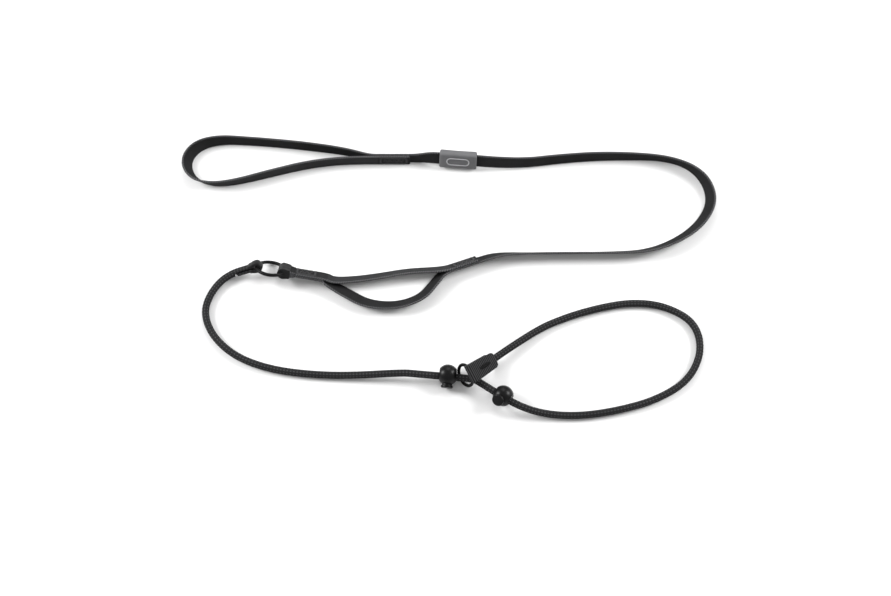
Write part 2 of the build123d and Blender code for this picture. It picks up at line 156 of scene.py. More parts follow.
def smooth_line(points, steps=10):
    """Points along the NURBS line that the control points pull."""
    curve = bpy.data.curves.new("line", "CURVE")
    curve.dimensions = "3D"
    spline = curve.splines.new("NURBS")
    spline.points.add(len(points) - 1)
    for knot, point in zip(spline.points, points):
        knot.co = (*point, 1)
    spline.order_u = 3
    spline.use_endpoint_u = True
    spline.resolution_u = steps
    holder = linked("line", curve)
    mesh = bpy.data.meshes.new_from_object(holder)
    found = np.array([tuple(vertex.co) for vertex in mesh.vertices])
    bpy.data.objects.remove(holder)
    bpy.data.curves.remove(curve)
    bpy.data.meshes.remove(mesh)
    return found


def unit(vectors):
    """Vectors scaled to length one."""
    return vectors / np.linalg.norm(vectors, axis=-1, keepdims=True)


def headings(line):
    """Unit direction of travel at each point of a line."""
    ahead = np.empty_like(line)
    ahead[1:-1] = line[2:] - line[:-2]
    ahead[0] = line[1] - line[0]
    ahead[-1] = line[-1] - line[-2]
    return unit(ahead)


def lengths(line):
    """Distance travelled at each point of a line."""
    return np.concatenate([[0], np.cumsum(np.linalg.norm(np.diff(line, axis=0), axis=1))])


def spaced(line, gap):
    """The same line with points about evenly spaced along it."""
    travel = lengths(line[:, :3])
    at = np.linspace(0, travel[-1], int(travel[-1] / gap) + 2)
    return np.stack([np.interp(at, travel, line[:, k]) for k in range(line.shape[1])], 1)


def carried(line):
    """Two directions across a line at each point, carried along it without twisting."""
    ahead = headings(line)
    side = np.cross(ahead[0], [0.31, 0.2, 0.93])
    sides = []
    for heading in ahead:
        side = side - heading * side.dot(heading)
        side = side / np.linalg.norm(side)
        sides.append(side)
    sides = np.array(sides)
    return sides, np.cross(ahead, sides)


def tube(name, rings, uv, closed_ends=True):
    """Mesh from an array of rings of points; uv has one more column than rings, to close the turn."""
    rows, count = rings.shape[:2]
    row, i = np.meshgrid(np.arange(rows - 1), np.arange(count), indexing="ij")
    j = (i + 1) % count
    here = row * count
    above = here + count
    quads = np.stack([here + i, here + j, above + j, above + i], -1)
    corners = np.stack([uv[row, i], uv[row, i + 1], uv[row + 1, i + 1], uv[row + 1, i]], 2)
    corners = corners.reshape(-1, 2)
    faces = quads.reshape(-1, 4).tolist()
    if closed_ends:
        faces.append(list(range(count))[::-1])
        faces.append(list(range((rows - 1) * count, rows * count)))
        corners = np.concatenate([corners, uv[0, :-1][::-1], uv[-1, :-1]])
    mesh = bpy.data.meshes.new(name)
    mesh.from_pydata(rings.reshape(-1, 3).tolist(), [], faces)
    mesh.uv_layers.new(name="UVMap").data.foreach_set("uv", corners.astype(np.float32).ravel())
    mesh.update()
    return linked(name, mesh)


def joined(name, pieces):
    """Several meshes as one piece."""
    with bpy.context.temp_override(active_object=pieces[0], selected_editable_objects=pieces):
        bpy.ops.object.join()
    pieces[0].name = name
    pieces[0].data.name = name
    return pieces[0]


def shade_smooth(piece, angle=40):
    """Smooth shading that keeps edges sharper than the angle."""
    piece.data.polygons.foreach_set("use_smooth", [True] * len(piece.data.polygons))
    piece.data.set_sharp_from_angle(angle=radians(angle))
    piece.data.update()


# --- Materials ------------------------------------------------------------------------------------

class Nodes:
    """Short way to write a shader's node tree."""

    def __init__(self, name):
        self.material = bpy.data.materials.new(name)
        self.material.use_nodes = True
        self.tree = self.material.node_tree
        self.shader = self.tree.nodes["Principled BSDF"]

    def add(self, kind, inputs=(), **settings):
        node = self.tree.nodes.new(kind)
        for key, value in settings.items():
            setattr(node, key, value)
        for key, value in dict(inputs).items():
            self.join(value, node.inputs[key])
        return node

    def join(self, value, socket):
        if isinstance(value, bpy.types.NodeSocket):
            self.tree.links.new(value, socket)
        else:
            socket.default_value = value

    def math(self, operation, first, second=0.0):
        node = self.add("ShaderNodeMath", operation=operation)
        self.join(first, node.inputs[0])
        self.join(second, node.inputs[1])
        return node.outputs[0]

    def mix(self, factor, low, high):
        node = self.add("ShaderNodeMix", data_type="RGBA")
        self.join(factor, node.inputs["Factor"])
        self.join(low, node.inputs["A"])
        self.join(high, node.inputs["B"])
        return node.outputs["Result"]

    def bump(self, height, distance, strength=1.0):
        node = self.add("ShaderNodeBump", {"Height": height, "Distance": distance, "Strength": strength})
        self.join(node.outputs["Normal"], self.shader.inputs["Normal"])

    def surface(self, **values):
        for key, value in values.items():
            self.join(value, self.shader.inputs[key.replace("_", " ")])


def grey(level, tint=1.04):
    """Neutral colour with a slightly cool blue."""
    return (level, level, level * tint, 1)


def noise(nodes, scale, detail=4.0, coordinates="Object"):
    """Noise factor at a scale per metre."""
    place = nodes.add("ShaderNodeTexCoord")
    inputs = {"Vector": place.outputs[coordinates], "Scale": scale, "Detail": detail}
    cloud = nodes.add("ShaderNodeTexNoise", inputs)
    return cloud.outputs["Fac"]


def wave(nodes, value, pitch):
    """Rounded ridges, 0 to 1, one each pitch."""
    return nodes.math("ABSOLUTE", nodes.math("SINE", nodes.math("MULTIPLY", value, pi / pitch)))


def woven(name, low, high, fleck):
    """Flat webbing: chevron twill columns with fibre noise, and pale flecks along both selvedges."""
    nodes = Nodes(name)
    place = nodes.add("ShaderNodeTexCoord")
    split = nodes.add("ShaderNodeSeparateXYZ", {"Vector": place.outputs["UV"]})
    over = split.outputs["X"]
    along = split.outputs["Y"]
    column = nodes.math("PINGPONG", over, WEB_COLUMN * MM)
    slanted = nodes.math("ADD", along, column)
    twill = wave(nodes, slanted, TWILL_PITCH * MM)
    rib = wave(nodes, over, WEB_COLUMN * MM)
    fibre = noise(nodes, 2600.0)
    patch = noise(nodes, 45.0, 2.0)
    height = nodes.math("ADD", nodes.math("MULTIPLY", twill, 0.55), nodes.math("MULTIPLY", rib, 0.45))
    height = nodes.math("ADD", height, nodes.math("MULTIPLY", fibre, 0.5))
    # Colour follows the weave's height, darker in the grooves as painted shade, under random patches of
    # tone.
    crown = nodes.math("MULTIPLY", nodes.math("ADD", height, 0.1), nodes.math("ADD", patch, 0.3))
    cloth = nodes.mix(crown, low, high)
    # Pale flecks in dashes along the twill on both selvedges: a painted highlight of the edges catching
    # the light.
    from_middle = nodes.math("ABSOLUTE", nodes.math("SUBTRACT", over, UV_SHIFT))
    selvedge = nodes.math("GREATER_THAN", from_middle, (WEB_WIDTH / 2 - SELVEDGE_WIDE) * MM)
    dash = nodes.math("GREATER_THAN", wave(nodes, slanted, FLECK_PITCH * MM), 0.75)
    selvedge_glint = nodes.math("MULTIPLY", selvedge, dash)
    selvedge_glint = nodes.math("MULTIPLY", selvedge_glint, nodes.math("ADD", fibre, 0.35))
    nodes.surface(Base_Color=nodes.mix(selvedge_glint, cloth, fleck), Roughness=0.85, Specular_IOR_Level=0.06)
    nodes.bump(height, 0.22 * MM)
    return nodes.material


def braided(name, low, high, carriers=BRAID_CARRIERS, lay=BRAID_LAY):
    """Braided sheath: two strand families passing over and under, one paler; painted shade in the grooves.
    """
    nodes = Nodes(name)
    place = nodes.add("ShaderNodeTexCoord")
    split = nodes.add("ShaderNodeSeparateXYZ", {"Vector": place.outputs["UV"]})
    turn = nodes.math("MULTIPLY", split.outputs["X"], carriers)
    travel = nodes.math("MULTIPLY", split.outputs["Y"], 1 / (lay * MM))
    one = nodes.math("ADD", turn, travel)
    other = nodes.math("SUBTRACT", turn, travel)
    cells = nodes.math("ADD", nodes.math("FLOOR", one), nodes.math("FLOOR", other))
    pale = nodes.math("PINGPONG", cells, 1.0)
    width_one = nodes.math("SINE", nodes.math("MULTIPLY", nodes.math("FRACT", one), pi))
    width_other = nodes.math("SINE", nodes.math("MULTIPLY", nodes.math("FRACT", other), pi))
    strand = nodes.math("MULTIPLY", width_one, width_other)
    fibre = noise(nodes, 3200.0)
    patch = noise(nodes, 30.0, 2.0)
    # Strand crowns lighter and grooves between strands darker: painted shade; the paler family and the
    # noise are colour.
    lit = nodes.math("MULTIPLY", strand, nodes.math("ADD", nodes.math("MULTIPLY", pale, 0.85), 0.15))
    lit = nodes.math("MULTIPLY", lit, nodes.math("ADD", nodes.math("MULTIPLY", fibre, 0.6), 0.6))
    lit = nodes.math("MULTIPLY", lit, nodes.math("ADD", patch, 0.5))
    nodes.surface(Base_Color=nodes.mix(lit, low, high), Roughness=0.75, Specular_IOR_Level=0.08)
    nodes.bump(nodes.math("ADD", strand, nodes.math("MULTIPLY", fibre, 0.4)), 0.2 * MM)
    return nodes.material


def moulded(name, low, high, rough, grain=1800.0, depth=0.02, shine=0.3):
    """Moulded rubber or plastic: fine grain, slow gloss changes and rubbed patches."""
    nodes = Nodes(name)
    fine = noise(nodes, grain)
    slow = noise(nodes, 120.0, 3.0)
    gloss = nodes.math("ADD", nodes.math("MULTIPLY", slow, 0.18), rough - 0.09)
    nodes.surface(Base_Color=nodes.mix(slow, low, high), Roughness=gloss, Specular_IOR_Level=shine)
    nodes.bump(fine, depth * MM)
    return nodes.material


def enamelled(name, low, high, metallic=0.0):
    """Black plated wire: satin metal with faint scuffs."""
    nodes = Nodes(name)
    scuff = noise(nodes, 900.0, 8.0)
    slow = noise(nodes, 90.0)
    gloss = nodes.math("ADD", nodes.math("MULTIPLY", scuff, 0.25), 0.3)
    nodes.surface(Base_Color=nodes.mix(slow, low, high), Metallic=metallic, Roughness=gloss,
                  Specular_IOR_Level=0.09)
    nodes.bump(scuff, 0.01 * MM)
    return nodes.material


def ribbed(name, low, high, pitch=TAB_RIB_PITCH):
    """Stiff woven tab: crosswise ribs, with painted shade in the grooves and painted light on each rib's
    crown.
    """
    nodes = Nodes(name)
    place = nodes.add("ShaderNodeTexCoord")
    split = nodes.add("ShaderNodeSeparateXYZ", {"Vector": place.outputs["UV"]})
    crown = wave(nodes, split.outputs["Y"], pitch * MM)
    fibre = noise(nodes, 3000.0)
    # Colour darker in the rib grooves and paler on the crowns: painted shade and painted light of the
    # ribs.
    lit = nodes.math("MULTIPLY", nodes.math("POWER", crown, 3.0), nodes.math("ADD", fibre, 0.35))
    nodes.surface(Base_Color=nodes.mix(lit, low, high), Roughness=0.75, Specular_IOR_Level=0.08)
    nodes.bump(nodes.math("ADD", crown, nodes.math("MULTIPLY", fibre, 0.4)), 0.15 * MM)
    return nodes.material


def threads(name, low, high, pitch=0.45, shine=0.3):
    """Satin thread: fine parallel strands, with painted shade between them."""
    nodes = Nodes(name)
    place = nodes.add("ShaderNodeTexCoord")
    split = nodes.add("ShaderNodeSeparateXYZ", {"Vector": place.outputs["UV"]})
    strand = wave(nodes, split.outputs["Y"], pitch * MM)
    fibre = noise(nodes, 3000.0)
    height = nodes.math("ADD", strand, nodes.math("MULTIPLY", fibre, 0.4))
    # Colour follows the strand height: painted shade between the strands.
    nodes.surface(Base_Color=nodes.mix(height, low, high), Roughness=0.5, Specular_IOR_Level=shine)
    nodes.bump(height, 0.1 * MM)
    return nodes.material


# The last colour of each webbing face is the painted highlight of the selvedge flecks.
WEB_LIGHT = woven("webbing_left_face", grey(0.012), grey(0.028), grey(0.13))
WEB_DARK = woven("webbing_right_face", grey(0.007), grey(0.018), grey(0.12))
ROPE_SHEATH = braided("rope_sheath", grey(0.010), grey(0.060))
TAB_WEAVE = ribbed("tab_webbing", grey(0.002), grey(0.062))
THREAD = threads("thread", grey(0.012), grey(0.06))
TACK = threads("tack_thread", grey(0.001), grey(0.004), shine=0.08)
RUBBER = moulded("keeper_rubber", grey(0.085), grey(0.105), 0.62, depth=0.03)
RUBBER_PALE = moulded("keeper_rim_rubber", grey(0.26), grey(0.34), 0.6, depth=0.03)
SLEEVE = moulded("smooth_sleeve", grey(0.006), grey(0.012), 0.5, shine=0.15)
PLASTIC = moulded("stopper_plastic", grey(0.002), grey(0.005), 0.33, shine=0.16)
METAL = enamelled("black_metal", grey(0.003), grey(0.007))
STEEL = enamelled("spring_steel", grey(0.5), grey(0.6), metallic=1.0)


def dress(piece, *materials):
    """Give a piece its materials in place of any it has."""
    piece.data.materials.clear()
    for material in materials:
        piece.data.materials.append(material)


# --- Webbing --------------------------------------------------------------------------------------

def controls(route):
    """Route points as centres of the webbing, with the lean of each."""
    points = []
    for x, y, lean, lift in route:
        slant = radians(lean)
        height = WEB_WIDTH / 2 * cos(slant) + WEB_THICK / 2 * abs(sin(slant)) + lift
        points.append((placed(x, y, height), lean))
    return points


def across(ahead, lean):
    """Directions through the webbing's thickness and up its width."""
    level = Vector((-ahead.y, ahead.x, 0)).normalized()
    through = level * cos(radians(lean)) - Vector((0, 0, sin(radians(lean))))
    through = (through - ahead * through.dot(ahead)).normalized()
    return through, ahead.cross(through)


def outline(width, thick, spans=16):
    """Half round selvedges joined by two faces, in order round the webbing."""
    half = width / 2 - thick / 2
    rise = np.linspace(-half, half, spans + 1)
    turn = np.linspace(0, pi, 6)[1:-1]
    right = np.stack([np.full(spans + 1, thick / 2), rise], 1)
    top = np.stack([thick / 2 * np.cos(turn), half + thick / 2 * np.sin(turn)], 1)
    return np.concatenate([right, top, -right, -top])


def ribbon(name, points, sewn, gap=0.8):
    """Webbing swept along its control points; sewn holds the stretches that stitches pull in, in mm."""
    sampled = smooth_line([point for point, lean in points], steps=24)
    leans = smooth_line([Vector((lean, 0, 0)) for point, lean in points], steps=24)
    both = spaced(np.column_stack([sampled, leans[:, 0]]), gap * MM)
    line = both[:, :3]
    travel = lengths(line)
    faces = [across(Vector(ahead), lean) for ahead, lean in zip(headings(line), both[:, 3])]
    through = np.array([pair[0] for pair in faces])
    up = np.array([pair[1] for pair in faces])
    shape = outline(WEB_WIDTH * MM, WEB_THICK * MM)
    along = travel / MM
    bumps = np.abs(np.sin(along * pi / SCALLOP_PITCH))
    scallop = 0.13 * bumps + 0.06 * np.sin(along * 0.21) * np.sin(along * 0.057)
    for start, stop in sewn:
        pulled = (along > start) & (along < stop)
        scallop = scallop + pulled * (0.55 * bumps - 0.35)
    out = np.abs(shape[:, 1]) / (WEB_WIDTH / 2 * MM)
    selvedge = np.clip((out - 0.7) / 0.3, 0, 1) * np.sign(shape[:, 1])
    width = shape[None, :, 1] + scallop[:, None] * selvedge[None, :] * MM
    rings = line[:, None] + through[:, None] * shape[None, :, :1] + up[:, None] * width[:, :, None]
    uv = np.stack(np.broadcast_arrays(shape[None, :, 1] + UV_SHIFT, travel[:, None]), -1)
    piece = tube(name, rings, np.concatenate([uv, uv[:, :1]], 1))
    dress(piece, WEB_LIGHT, WEB_DARK)
    around = len(shape)
    order = np.arange(len(piece.data.polygons)) % around
    middle = np.append(np.repeat((along[:-1] + along[1:]) / 2, around), [along[0], along[-1]])
    top_of_outline = around // 2 - 2
    dark = order >= top_of_outline
    # Sewn stretches take the darker material on both faces: painted shade where one ply lies against and
    # shades the other.
    for start, stop in sewn:
        dark |= (middle > start) & (middle < stop)
    piece.data.polygons.foreach_set("material_index", dark.astype(np.int32))
    shade_smooth(piece)
    return piece, {"line": line, "through": through, "up": up, "travel": travel}


hand_points = controls(HAND_LOOP)
leash_points = controls(LEASH)
slack_points = controls(SLACK_LOOP)
main_points = controls(MAIN_BAND)

channel = placed(*CHANNEL_AT)
end_ahead = RING_END_AHEAD.normalized()
end_through, end_up = across(end_ahead, RING_END_LEAN)


def ply_at(distance, side):
    """Centre of one ply at a distance from the ring's channel; side is 1 for the far ply."""
    return channel + end_ahead * (distance * MM) + end_through * (side * WEB_THICK / 2 * MM)


near_end = [(ply_at(s, -1), -RING_END_LEAN) for s in (STITCHED_END + 6, 26, FOLD_REACH)]
far_start = [(ply_at(s, 1), RING_END_LEAN) for s in (FOLD_REACH, 26, STITCHED_END + 6)]

lower_ahead = (slack_points[0][0] - slack_points[2][0]).normalized()
lower_through = across(lower_ahead, -slack_points[0][1])[0]
lower_far = slack_points[0][0] + lower_through * (WEB_THICK * MM)
far_end = [(lower_far + lower_ahead * (s * MM), -slack_points[0][1]) for s in (-44, -28, -5)]

HAND_SEWN = 36
LOWER_SEWN = 30
RING_SEWN = 36
webbing = {
    "hand_loop_webbing": (hand_points, HAND_SEWN, HAND_SEWN),
    "leash_webbing": (leash_points, 0, 0),
    "slack_loop_webbing": (slack_points + near_end, LOWER_SEWN, RING_SEWN),
    "main_band_webbing": (far_start + main_points + far_end, RING_SEWN, LOWER_SEWN),
}
bands = {}
for node, (points, first_sewn, last_sewn) in webbing.items():
    whole = lengths(smooth_line([point for point, lean in points]))[-1] / MM
    sewn = [(-1, first_sewn), (whole - last_sewn, whole + 9)]
    band, bands[node] = ribbon(node + "_woven", points, sewn)
    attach(band, "root")
    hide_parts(node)

# --- Rope -----------------------------------------------------------------------------------------

ring_middle = channel + end_ahead * ((RING_OFFSET - RING_MEAN_R) * MM)
eye_at = ring_middle - end_ahead * (RING_MEAN_R * MM)
eye_ahead = (EYE_AHEAD - end_up * EYE_AHEAD.dot(end_up)).normalized()
eye_side = end_up.cross(eye_ahead)

slip_across = SLIP_ACROSS.normalized()
slip_up = (SLIP_UP - slip_across * SLIP_UP.dot(slip_across)).normalized()
tab_at = placed(*SLIP_AT) + slip_up * (SLIP_MEAN_R * MM)
tab_side = TAB_SIDE.normalized()
tab_ahead = (TAB_AHEAD - tab_side * TAB_AHEAD.dot(tab_side)).normalized()
tab_top = tab_side.cross(tab_ahead)

rope_points = [eye_at + eye_ahead * ((EYE_LENGTH - 2) * MM)]
for index, point in enumerate(ROPE):
    if index in ROPE_STRAIGHT:
        rope_points.append(placed(*ROPE_STRAIGHT[index]))
    rope_points.append(placed(*point))
rope_points.append(tab_at + tab_ahead * ((TAB_LENGTH - 3) * MM))


def plait(turn, travel, carriers=BRAID_CARRIERS, lay=BRAID_LAY):
    """Height, 0 to 1, of a braid's strands over its grooves."""
    one = turn * carriers + travel / (lay * MM)
    other = turn * carriers - travel / (lay * MM)
    over = (np.floor(one) + np.floor(other)) % 2
    across_one = np.sin(pi * (one % 1))
    across_other = np.sin(pi * (other % 1))
    wide = np.where(over > 0.5, across_one, across_other)
    long = np.where(over > 0.5, across_other, across_one)
    return np.sqrt(np.clip(wide, 0, 1)) * np.clip(long, 0, 1) ** 0.25


def braided_tube(name, line, side, half_wide, half_thick, sides=48, relief=0.28, first=0.0):
    """Braided rope along a line; side is the direction that half_wide is measured in, at each point."""
    travel = lengths(line) + first
    other = np.cross(headings(line), side)
    turn = np.arange(sides + 1) / sides
    height = plait(turn[None, :], travel[:, None])[:, :sides]
    wide = np.broadcast_to(half_wide, travel.shape)[:, None] * MM - relief * MM * (1 - height)
    thick = np.broadcast_to(half_thick, travel.shape)[:, None] * MM - relief * MM * (1 - height)
    angle = 2 * pi * turn[None, :sides]
    rings = (line[:, None] + side[:, None] * (np.cos(angle) * wide)[:, :, None]
             + other[:, None] * (np.sin(angle) * thick)[:, :, None])
    uv = np.stack(np.broadcast_arrays(turn[None, :], travel[:, None]), -1)
    piece = tube(name, rings, uv)
    dress(piece, ROPE_SHEATH)
    shade_smooth(piece, 80)
    return piece


rope_line = spaced(smooth_line(rope_points, steps=60), 0.55 * MM)
rope = braided_tube("rope_braided", rope_line, carried(rope_line)[0], ROPE_R, ROPE_R)
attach(rope, "rope_line")
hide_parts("rope")

# --- Folds round the two rings, and their sleeves ------------------------------------------------


def in_frame(axes, local):
    """Points given in mm along an origin's three axes, in metres in the lead's own frame."""
    origin, x, y, z = (np.array(part) for part in axes)
    local = np.asarray(local) * MM
    return origin + local[..., :1] * x + local[..., 1:2] * y + local[..., 2:3] * z


def fold_outline(radius, reach, half_end, pitch=0.45):
    """Outline of a fold, anticlockwise from its far end: one side, round the nose, the other side."""
    bend = atan2(half_end, reach) + acos(radius / hypot(reach, half_end))
    touch = np.array([radius * cos(bend), radius * sin(bend)])
    end = np.array([reach, half_end])
    run = np.linspace(0, 1, int(np.linalg.norm(end - touch) / pitch) + 2)[:, None]
    upper = end + (touch - end) * run
    angles = np.linspace(bend, 2 * pi - bend, int(radius * 2 * (pi - bend) / pitch) + 2)[1:-1]
    nose = radius * np.stack([np.cos(angles), np.sin(angles)], 1)
    lower = upper[::-1] * [1, -1]
    rise = np.linspace(-half_end, half_end, max(3, int(2 * half_end / pitch)))[1:-1]
    back = np.stack([np.full(len(rise), reach), rise], 1)
    return np.concatenate([upper, nose, lower, back])


def outward(shape):
    """Outward direction at each point of a closed anticlockwise outline."""
    tangent = np.roll(shape, -1, axis=0) - np.roll(shape, 1, axis=0)
    return unit(np.stack([tangent[:, 1], -tangent[:, 0]], 1))


def folded(name, axes, shape, half_width, relief=None, soft_edge=0.6, slices=25):
    """Solid with a fold's outline in x and y and a width along z; relief is added outward, in mm."""
    normal = outward(shape)
    travel = lengths(np.concatenate([shape, shape[:1]]))
    share = np.linspace(-1, 1, slices)
    edge = np.array([-1, -1, -0.985, -0.95])
    levels = np.concatenate([edge, share[(share > -0.94) & (share < 0.94)], -edge[::-1]])
    inset = np.zeros(len(levels))
    inset[[0, 1, 2]] = (soft_edge, soft_edge * 0.55, soft_edge * 0.2)
    inset[[-1, -2, -3]] = inset[:3]
    levels[[0, -1]] = (-1, 1)
    rings = []
    for level, back_off in zip(levels, inset):
        lift = relief(travel[:-1], level) if relief else 0.0
        moved = shape + normal * (np.asarray(lift) - back_off)[..., None]
        rings.append(np.column_stack([moved, level * half_width(moved[:, 0])]))
    rings = in_frame(axes, np.array(rings))
    over = levels[:, None] * half_width(np.zeros(1))[0] * MM + UV_SHIFT
    uv = np.stack(np.broadcast_arrays(over, travel[None, :] * MM), -1)
    return tube(name, rings, uv)


def torus(name, middle, axis, mean, wire):
    """Ring of round wire."""
    axis = np.array(axis)
    first = unit(np.cross(axis, [0.3, 0.5, 0.8]))
    second = np.cross(axis, first)
    turn = np.linspace(0, 2 * pi, 97)[:, None]
    spoke = np.cos(turn) * first + np.sin(turn) * second
    round_wire = np.linspace(0, 2 * pi, 25)[:-1]
    rings = (np.array(middle) + spoke[:, None] * (mean + wire * np.cos(round_wire)[None, :, None]) * MM
             + axis * (wire * np.sin(round_wire) * MM)[None, :, None])
    piece = tube(name, rings, np.zeros((97, 25, 2)), closed_ends=False)
    bpy.context.view_layer.objects.active = piece
    weld = piece.modifiers.new("weld", "WELD")
    weld.merge_threshold = WELD_GAP
    return piece


def carved(piece, cutter):
    """The piece with the cutter's shape taken out of it; the cutter is deleted."""
    cut = piece.modifiers.new("cut", "BOOLEAN")
    cut.operation = "DIFFERENCE"
    cut.solver = "EXACT"
    cut.object = cutter
    graph = bpy.context.evaluated_depsgraph_get()
    mesh = bpy.data.meshes.new_from_object(piece.evaluated_get(graph))
    piece.modifiers.clear()
    old = piece.data
    piece.data = mesh
    bpy.data.meshes.remove(old)
    bpy.data.objects.remove(cutter)
    return piece


def finished(piece, node, body, material, angle=40):
    """Material, shading and place of a piece that stands for a CAD node."""
    dress(piece, material)
    shade_smooth(piece, angle)
    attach(piece, body)
    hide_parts(node)
    return piece


hook = (channel, end_ahead, end_up.cross(end_ahead), end_up)


def ring_tunnel(wire):
    """The room that the big ring's wire takes, as a cutter."""
    return torus("tunnel", ring_middle, hook[2], RING_MEAN_R, wire)


def cloth_ribs(travel, level):
    """Crosswise ribs of a narrow woven band."""
    return 0.12 * np.abs(np.sin(travel * pi / 1.3))


def sleeve_puckers(travel, level):
    """Slight waves of a sleeve shrunk over a fold."""
    return 0.09 * np.sin(travel * 1.1 + level * 2.0) + 0.05 * np.sin(level * 9.0)


fold = folded("ring_fold_cloth", hook, fold_outline(FOLD_R, FOLD_REACH, WEB_THICK),
              lambda x: 7.9 + 0 * x, cloth_ribs)
fold = carved(fold, ring_tunnel(2.5))
finished(fold, "ring_fold_webbing", "root", WEB_DARK)
sleeve = folded("ring_fold_band", hook, fold_outline(SLEEVE_R, SLEEVE_REACH, SLEEVE_END_HALF),
                lambda x: 8.3 + 0 * x, sleeve_puckers, soft_edge=0.7)
sleeve = carved(sleeve, ring_tunnel(2.5))
finished(sleeve, "ring_fold_sleeve", "root", SLEEVE)

# --- Rope's sewn eye on the big ring, and its smooth sleeve ---------------------------------------

eye = (eye_at, eye_ahead, eye_side, end_up)
EYE_PATH_R = 4.25
EYE_RUN_HALF = 2.2
TAIL_END = 25.0


def eye_path(first, last, gap=0.5):
    """Line of the rope from its sewn tail, round the wire and back, in mm in the eye's own frame."""
    angles = np.radians(np.linspace(62, 298, 40))
    nose = EYE_PATH_R * np.stack([np.cos(angles), np.sin(angles)], 1)
    side = np.array([[14.0, EYE_RUN_HALF], [10.0, EYE_RUN_HALF], [6.5, EYE_RUN_HALF + 0.55]])
    tail = np.array([[first, EYE_RUN_HALF]])
    main = np.array([[last, -EYE_RUN_HALF]])
    parts = [tail, side[side[:, 0] < first], nose, side[side[:, 0] < last][::-1] * [1, -1], main]
    line = spaced(np.concatenate(parts), gap)
    for _ in range(3):
        line[1:-1] = (line[:-2] + line[1:-1] * 2 + line[2:]) / 4
    return np.column_stack([line, np.zeros(len(line))])


def eye_side_at(line):
    """The eye's wire direction, once for each point of a line."""
    return np.tile(np.array(end_up), (len(line), 1))


flat_line = eye_path(TAIL_END, EYE_LENGTH + 1)
share = lengths(flat_line) / lengths(flat_line)[-1]
tail_blunt = np.clip(share / 0.03, 0.35, 1)
merge = np.clip((share - 0.84) / 0.16, 0, 1) ** 2
flat_line[:, 1] += merge * EYE_RUN_HALF
eye_line = in_frame(eye, flat_line)
from_nose = np.clip(abs(share - 0.5) * 8, 0, 1)
eye_half_thick = (1.95 + 0.35 * from_nose + merge * 1.7) * tail_blunt
eye_half_wide = 4.3 * tail_blunt
eye_rope = braided_tube("rope_eye_braided", eye_line, eye_side_at(eye_line), eye_half_wide, eye_half_thick)
finished(eye_rope, "rope_eye", "rope_line", ROPE_SHEATH, 80)

guard_line = in_frame(eye, eye_path(GUARD_REACH, GUARD_REACH))
guard_travel = lengths(guard_line) / MM
guard_turn = np.arange(49) / 48
guard_angle = 2 * pi * guard_turn[:48]
pucker = 0.1 * np.sin(guard_travel[:, None] * 1.3 + np.sin(guard_angle[None, :]) * 2)
from_lip = np.minimum(guard_travel, guard_travel[-1] - guard_travel)
lip = 1 - 0.12 * np.clip(1 - from_lip / 0.9, 0, 1) ** 2


def squared(wave_values):
    """A sine or cosine pushed outward, for a cross-section between an ellipse and a box."""
    return np.sign(wave_values) * np.abs(wave_values) ** 0.6


guard_across = squared(np.cos(guard_angle))
guard_over = squared(np.sin(guard_angle))
guard_wide = (4.9 + pucker) * lip[:, None] * MM
guard_thick = (2.55 + pucker) * lip[:, None] * MM
guard_out = np.cross(headings(guard_line), eye_side_at(guard_line))
guard_rings = (guard_line[:, None] + np.array(end_up) * (guard_across * guard_wide)[:, :, None]
               + guard_out[:, None] * (guard_over * guard_thick)[:, :, None])
guard_uv = np.stack(np.broadcast_arrays(guard_turn[None, :] * 0.02, guard_travel[:, None] * MM), -1)
guard = tube("rope_eye_sleeve", guard_rings, guard_uv)
guard = carved(guard, ring_tunnel(2.1))
finished(guard, "rope_eye_guard", "rope_line", SLEEVE)

# --- Slip ring's ribbed tab and its bar tack ------------------------------------------------------

tab = (tab_at, tab_ahead, tab_top, tab_side)


def tab_half_width(x):
    """Half width of the tab, with rounded far corners."""
    straight = np.interp(x, [4, TAB_LENGTH], [TAB_WIDE / 2, TAB_NARROW / 2])
    corner = 4.5
    into = np.clip((x - (TAB_LENGTH - corner)) / corner, 0, 1)
    return straight - corner * (1 - np.sqrt(1 - into ** 2 * 0.98))


def tab_ribs(travel, level):
    """Crosswise ribs of the tab's stiff weave."""
    return 0.5 * np.abs(np.sin(travel * pi / TAB_RIB_PITCH)) - 0.2


tab_shape = fold_outline(TAB_FOLD_R, TAB_LENGTH, TAB_END_HALF_THICK, 0.3)
tab_piece = folded("rope_tab_cloth", tab, tab_shape, tab_half_width, tab_ribs, 0.5, 61)
slip_axis = slip_across.cross(slip_up)
slip_tunnel = torus("slip_tunnel", placed(*SLIP_AT), slip_axis, SLIP_MEAN_R, SLIP_WIRE_R + 0.3)
tab_piece = carved(tab_piece, slip_tunnel)
finished(tab_piece, "rope_tab", "rope_line", TAB_WEAVE, 60)


def tack(name, axes, length, width, rise):
    """Lens-shaped bar tack: close satin stitches laid across it."""
    along = np.linspace(-0.5, 0.5, 86)
    over = np.linspace(-1, 1, 13)
    half = width / 2 * np.sqrt(np.clip(1 - (along * 2) ** 2, 0.02, 1))
    stitches = 0.75 + 0.25 * np.abs(np.sin(along * length * pi / 0.8))
    height = rise * (1 - over[None, :] ** 2 * 0.8) * stitches[:, None]
    top = np.stack(np.broadcast_arrays((along * length)[:, None], half[:, None] * over, height), -1)
    base = top[:, ::-1] * [1, 1, 0] - [0, 0, 0.3]
    rings = np.concatenate([top, base], 1)
    uv = np.stack(np.broadcast_arrays(np.arange(27)[None, :] * MM, (along * length * MM)[:, None]), -1)
    return tube(name, in_frame(axes, rings), uv)


